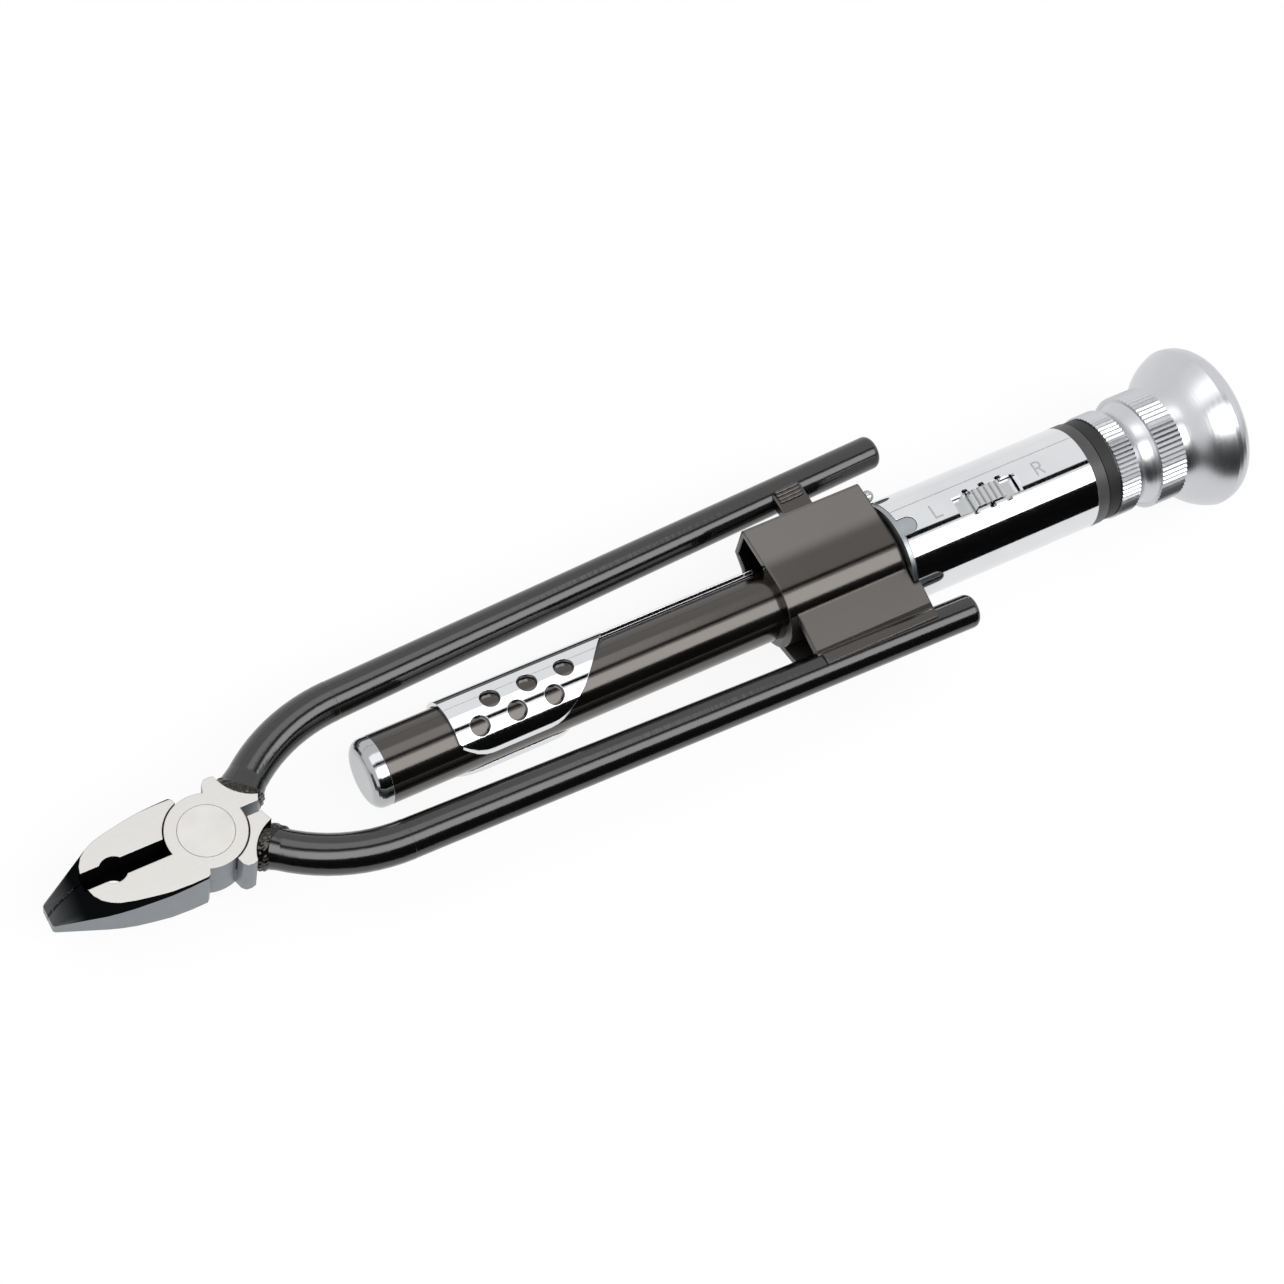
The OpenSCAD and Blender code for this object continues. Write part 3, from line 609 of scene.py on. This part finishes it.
@dataclass
class WeldBead:
    """Rippled bead that joins two pieces along a straight line."""

    name: str
    start: tuple[float, float, float]
    end: tuple[float, float, float]
    body: Body
    radius: float = 0.52
    ripple: float = 0.05
    pitch: float = 2.1
    lean: float = 1.1
    lump_share: float = 0.4
    lump_turns: float = 3.3
    lump_waves: float = 17.0
    rows_per_pitch: int = 8
    least_rows: int = 24
    cols: int = 20

    def build(self) -> bpy.types.Object:
        """Builds the bead: a tube whose radius rises and falls along its line and shrinks at both ends.

        The rise is a sine of the place along the line that leans round the tube, with a weaker sine of both
        added as lumps.

        Returns:
            The dressed object.
        """
        a, b = np.array(self.start), np.array(self.end)
        length = float(np.linalg.norm(b - a))
        rows = max(self.least_rows, int(length / self.pitch * self.rows_per_pitch))
        s = np.linspace(0, 1, rows)[:, None]
        t = np.linspace(0, 2 * np.pi, self.cols, endpoint=False)[None, :]
        wave = 1 + self.ripple * np.sin(2 * np.pi * s * length / self.pitch + self.lean * np.cos(t))
        lumps = self.lump_share * self.ripple * np.sin(self.lump_turns * t + self.lump_waves * s)
        r = self.radius * round_ends(s) * (wave + lumps)
        d = (b - a) / length
        side = np.cross(d, [0, 0, 1.0])
        side = side / np.linalg.norm(side)
        up = np.cross(side, d)
        ring = (r * np.cos(t))[..., None] * side + (r * np.sin(t))[..., None] * up
        grid = a + s[..., None] * (b - a) + ring
        return finish_piece(sheet_mesh(self.name, [grid], True), TUBE_ENAMEL, self.body)


@dataclass
class PinBall:
    """Round head on the stop pin's rear end."""

    name: str
    centre: tuple[float, float, float]
    radius: float
    rows: int = 19
    cols: int = 32

    def build(self) -> bpy.types.Object:
        """Builds the ball: circles along X whose radius is the sine of the angle from its front pole.

        Returns:
            The dressed object.
        """
        a = np.linspace(0, np.pi, self.rows)[:, None]
        t = np.linspace(0, -2 * np.pi, self.cols, endpoint=False)[None, :]
        way = np.stack([-np.cos(a) * np.ones_like(t), np.sin(a) * np.cos(t), np.sin(a) * np.sin(t)], axis=-1)
        grid = np.array(self.centre) + self.radius * way
        return finish_piece(sheet_mesh(self.name, [grid], True), BRIGHT_CAP, Body.FRAME)


@dataclass
class EnamelBead:
    """Thick crumpled edge of the enamel, where a handle comes out of the head."""

    name: str
    side: int
    start: tuple[float, float]
    body: Body
    lean: float = 40.0
    arc: tuple[float, float] = (14.5, 11.2)
    arc_r: float = 8.8
    arc_share: float = 0.95
    cone_r: tuple[float, float] = (4.08, 5.1)
    taper: float = 6.5
    width: float = 2.3
    overlap: float = 0.1
    height: float = 0.42
    sunk: float = 0.3
    fold_waves: tuple[int, int] = (6, 3)
    fold_sway: tuple[float, float] = (1.9, 2.2)
    crease_waves: tuple[int, int] = (11, 5)
    crease_sway: float = 2.6
    wrinkle_waves: int = 23
    wrinkle_sway: float = 3.0
    shares: tuple[float, float, float] = (0.5, 0.6, 0.05)
    rows: int = 281
    cols: int = 36

    def crumple(self, turn: np.ndarray, t: np.ndarray) -> np.ndarray:
        """Gives the height of the skin: an even part, folds crossed by creases, and fine wrinkles.

        Folds and creases are sines without their sign, of the angle round the cone, swayed by the other
        angle.

        Args:
            turn: angle round the cone.
            t: angle round the section.
        Returns:
            The share of the full height at each point.
        """
        lap = np.cos(t)
        folds = np.abs(np.sin(self.fold_waves[0] * turn + self.fold_sway[1] * lap
                              + self.fold_sway[0] * np.sin(self.fold_waves[1] * turn)))
        creases = np.abs(np.sin(self.crease_waves[0] * turn - self.crease_sway * lap
                                + np.sin(self.crease_waves[1] * turn)))
        wrinkles = np.sin(self.wrinkle_waves * turn + self.wrinkle_sway * lap)
        return self.shares[0] + self.shares[1] * folds * creases + self.shares[2] * wrinkles

    def build(self) -> bpy.types.Object:
        """Builds the bead: a closed ring of skin on the handle's cone, along the arc of the head.

        One angle goes round the cone and one round the bead's section. The section goes out along the cone
        by half a cosine, stands above it by a sine and dips below it on the way back.

        Returns:
            The dressed object.
        """
        turn = -self.side * np.linspace(0, 2 * np.pi, self.rows)[:, None]
        t = np.linspace(0, 2 * np.pi, self.cols, endpoint=False)[None, :]
        lean = math.radians(self.lean)
        out = np.array([math.cos(lean), math.sin(lean)])
        across = np.array([-math.sin(lean), math.cos(lean)])
        centre = np.array(self.arc) - np.array(self.start)
        reach = self.arc_share * self.cone_r[1] * np.sin(turn) - centre @ across
        wall = centre @ out - np.sqrt(self.arc_r ** 2 - reach ** 2)
        along = wall - self.overlap + self.width * (1 - np.cos(t)) / 2
        thick = np.clip(-along / self.taper, 0, 1)
        cone = self.cone_r[0] + (self.cone_r[1] - self.cone_r[0]) * thick
        proud = self.height * self.crumple(turn, t) * np.maximum(np.sin(t), 0)
        r = cone + proud - self.sunk * np.maximum(-np.sin(t), 0)
        x = self.start[0] + along * out[0] + r * np.sin(turn) * across[0]
        y = self.start[1] + along * out[1] + r * np.sin(turn) * across[1]
        grid = np.stack([x, self.side * y, AXIS_Z + r * np.cos(turn)], axis=-1)
        return finish_piece(sheet_mesh(self.name, [grid], True), THICK_ENAMEL, self.body)


class Letter(Enum):
    """Strokes of the two direction letters, as points across and up in parts of the height."""

    LEFT = (((0.0, 1.0), (0.0, 0.0)), ((0.0, 0.0), (0.55, 0.0)))
    RIGHT = (((0.0, 1.0), (0.0, 0.0)),
             ((0.0, 1.0), (0.3, 1.0), (0.46, 0.95), (0.55, 0.84), (0.55, 0.66), (0.46, 0.54), (0.3, 0.49),
              (0.0, 0.49)),
             ((0.3, 0.49), (0.58, 0.0)))


@dataclass
class BarrelMark:
    """Direction letter, etched on the barrel and filled with grey."""

    name: str
    letter: Letter
    x: float
    angle: float = 90.0
    radius: float = 11.0
    height: float = 2.9
    middle: tuple[float, float] = (0.28, 0.5)
    stroke: float = 0.42
    rise: float = 0.03
    rows: int = 40
    cols: int = 16

    def build(self) -> bpy.types.Object:
        """Builds the letter: thin closed lenses along its strokes, bent round the barrel's axis.

        A stroke's section is a flat ellipse, half of it sunk in the barrel, that shrinks to a point at both
        ends.

        Returns:
            The dressed object.
        """
        grids = []
        s = np.linspace(0, 1, self.rows)
        t = -np.linspace(0, 2 * np.pi, self.cols, endpoint=False)[None, :]
        size = round_ends(s)[:, None]
        for points in self.letter.value:
            path = (np.array(points) - np.array(self.middle)) * self.height
            knots = np.linspace(0, 1, len(path))
            line = np.stack([np.interp(s, knots, path[:, 0]), np.interp(s, knots, path[:, 1])], axis=1)
            run = np.gradient(line, axis=0)
            run = run / np.linalg.norm(run, axis=1, keepdims=True)
            line = line + run * (s - 0.5)[:, None] * self.stroke
            across = np.stack([-run[:, 1], run[:, 0]], axis=1)
            half = self.stroke / 2 * np.cos(t) * size
            flat = line[:, None, :] + half[..., None] * across[:, None, :]
            turn = np.radians(self.angle) - flat[..., 1] / self.radius
            r = self.radius + self.rise * np.sin(t) * size
            grids.append(np.stack([self.x + flat[..., 0], r * np.cos(turn), AXIS_Z + r * np.sin(turn)],
                                  axis=-1))
        return finish_piece(sheet_mesh(self.name, grids, True), MARK_PAINT, Body.FRAME)


@dataclass
class Studio:
    """Camera, lamps, white surround and pale floor."""

    eye: tuple[float, float, float] = (-112.10, -213.27, 505.21)
    right: tuple[float, float, float] = (0.86159, -0.48604, 0.14637)
    up: tuple[float, float, float] = (0.36256, 0.79108, 0.49269)
    back: tuple[float, float, float] = (-0.35526, -0.37142, 0.85781)
    focal_px: float = 2979.66
    clip: tuple[float, float] = (0.01, 50.0)
    card_x: tuple[float, float] = (-700.0, 1300.0)
    floor_x: float = 100.0
    floor_z: float = -12.15
    floor_half: float = 3000.0
    floor_colour: str = "#F4F4F4"
    floor_white: float = 0.9
    fill: float = 0.6

    def camera(self) -> None:
        """Sets the camera at the photograph's viewing angle."""
        data = bpy.data.cameras.new("photo_camera")
        data.sensor_width = FILM_MM
        data.lens = self.focal_px / PHOTO_SIDE * FILM_MM
        data.clip_start, data.clip_end = self.clip
        held = bpy.data.objects.new("photo_camera", data)
        turn = Matrix((self.right, self.up, self.back)).transposed().to_4x4()
        held.matrix_world = Matrix.Translation(Vector(self.eye) * MM) @ turn
        bpy.context.scene.collection.objects.link(held)
        bpy.context.scene.camera = held

    def lamp(self, name: str, angle: float, width: float, radiance: float, distance: float = 1.0,
             length: float = 1.7, x: float = 0.3) -> None:
        """Adds one long soft lamp beside the tool's axis.

        Args:
            name: the lamp's name.
            angle: its place round the axis, from the moving handle's side upwards, in degrees.
            width: its width across the axis in metres.
            radiance: brightness of its face, where one is white.
            distance: its distance from the axis in metres.
            length: its length along the axis in metres.
            x: its middle along the axis in metres.
        """
        data = bpy.data.lights.new(name, "AREA")
        data.shape = "RECTANGLE"
        data.size = length
        data.size_y = width
        data.energy = radiance * math.pi * width * length
        held = bpy.data.objects.new(name, data)
        a = math.radians(angle)
        away = Vector((0.0, math.cos(a), math.sin(a)))
        across = Vector((1.0, 0.0, 0.0))
        turn = Matrix((across, away.cross(across), away)).transposed().to_4x4()
        held.matrix_world = Matrix.Translation(Vector((x, 0, AXIS_Z * MM)) + away * distance) @ turn
        bpy.context.scene.collection.objects.link(held)

    def card(self, name: str, profile: list[tuple[float, float]]) -> None:
        """Adds one long black card that only reflections see: its section carried along the axis.

        Args:
            name: the card's name.
            profile: points of its section in Y and Z, in millimetres.
        """
        line = np.array(profile)
        x = np.linspace(*self.card_x, 5)[:, None] * np.ones((1, len(line)))
        y, z = (np.broadcast_to(line[:, i], x.shape) for i in (0, 1))
        made = sheet_mesh(name, [np.stack([x, y, z], axis=-1)])
        made.data.materials.append(PAINT.get(BLACK_CARD))
        made.visible_camera = False
        made.visible_diffuse = False
        made.visible_shadow = False

    def seen(self, tree: bpy.types.NodeTree) -> Any:
        """Tells the rays that see the background from those that light the tool.

        Args:
            tree: the node tree.
        Returns:
            One for camera, glossy and transmission rays, else zero.
        """
        rays = add(tree, "LightPath").outputs
        direct = add(tree, "Math", MOST, {0: rays["Is Camera Ray"], 1: rays["Is Glossy Ray"]}).outputs[0]
        return add(tree, "Math", MOST, {0: direct, 1: rays["Is Transmission Ray"]}).outputs[0]

    def surround(self) -> None:
        """Makes the world white where it is seen and a soft fill elsewhere."""
        world = bpy.data.worlds.new("white_surround")
        bpy.context.scene.world = world
        world.use_nodes = True
        tree = world.node_tree
        tree.nodes.clear()
        strength = add(tree, "Mix", NUMBER, {0: self.seen(tree), 2: self.fill, 3: 1.0}).outputs[0]
        shade = add(tree, "Background", inputs={"Color": WHITE, "Strength": strength})
        add(tree, "OutputWorld", inputs={"Surface": shade.outputs[0]})

    def floor(self) -> None:
        """Makes the floor under the knob: a flat square of pale matt card, white with a faint shadow."""
        u = np.linspace(-self.floor_half, self.floor_half, 9)[:, None] * np.ones((1, 9))
        grid = np.stack([u + self.floor_x, u.T, np.full_like(u, self.floor_z)], axis=-1)
        made = sheet_mesh("floor", [grid])
        material = bpy.data.materials.new("pale_floor")
        material.use_nodes = True
        tree = material.node_tree
        tree.nodes.clear()
        share = add(tree, "Math", TIMES, {0: self.seen(tree), 1: self.floor_white}).outputs[0]
        matt = add(tree, "BsdfDiffuse", inputs={"Color": linear(self.floor_colour)}).outputs[0]
        white = add(tree, "Emission", inputs={"Color": WHITE, "Strength": 1.0}).outputs[0]
        mixed = add(tree, "MixShader", inputs={0: share, 1: matt, 2: white})
        add(tree, "OutputMaterial", inputs={"Surface": mixed.outputs[0]})
        made.data.materials.append(material)

    def build(self) -> None:
        """Builds the whole studio."""
        self.camera()
        self.surround()
        self.floor()
        self.lamp("near_softbox", angle=124, width=0.611, radiance=2.8)
        self.lamp("far_softbox", angle=75, width=0.5, radiance=1.0, length=1.4, x=-0.2)
        self.card("overhead_card", [(-31, 900), (-175, 900)])
        self.card("far_card", [(804, 405), (797, 419)])
        low = self.floor_z + 0.5
        self.card("near_card", [(-62, low), (-700, low), (-700, 570)])


@dataclass
class Pliers:
    """The dressed tool."""

    nodes: dict[str, bpy.types.Object]
    mark_x: tuple[float, float] = (159.4, 184.4)
    weld_x: tuple[float, float] = (134.9, 140.9)
    weld_drift: float = 0.27
    weld_yz: tuple[tuple[float, float], ...] = ((20.35, 3.6), (19.6, 3.45), (18.85, 3.3), (18.1, 3.25))
    ball: tuple[float, float, float] = (151.0, 10.9, AXIS_Z + 5.9)
    ball_r: float = 1.25
    moving_root: tuple[float, float] = (12.194, 8.499)
    fixed_root: tuple[float, float] = (11.43, 6.672)

    def dress(self) -> None:
        """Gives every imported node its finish."""
        for name, held in self.nodes.items():
            material = PAINT.get(NODE_FINISH[name])
            held.data.materials.clear()
            held.data.materials.append(material)
            log.info("node %s takes %s", name, material.name)

    def details(self) -> None:
        """Adds the small pieces that the solids leave out."""
        BarrelMark("mark_left", Letter.LEFT, self.mark_x[0]).build()
        BarrelMark("mark_right", Letter.RIGHT, self.mark_x[1]).build()
        for i, (y, z) in enumerate(self.weld_yz):
            start = (self.weld_x[0], y, AXIS_Z + z)
            end = (self.weld_x[1], y + self.weld_drift, AXIS_Z + z)
            WeldBead(f"hook_weld_{i + 1}", start, end, Body.MOVING).build()
        PinBall("pin_ball", self.ball, self.ball_r).build()
        EnamelBead("moving_enamel_edge", 1, self.moving_root, Body.MOVING).build()
        EnamelBead("fixed_enamel_edge", -1, self.fixed_root, Body.FRAME).build()

    def build(self) -> None:
        """Dresses the nodes and adds the details."""
        self.dress()
        self.details()


def main() -> None:
    """Builds the tool and the studio in order."""
    logging.basicConfig(level=logging.INFO)
    bpy.context.scene.view_settings.view_transform = "Standard"
    Pliers(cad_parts).build()
    Studio().build()


if __name__ == "__main__":
    main()
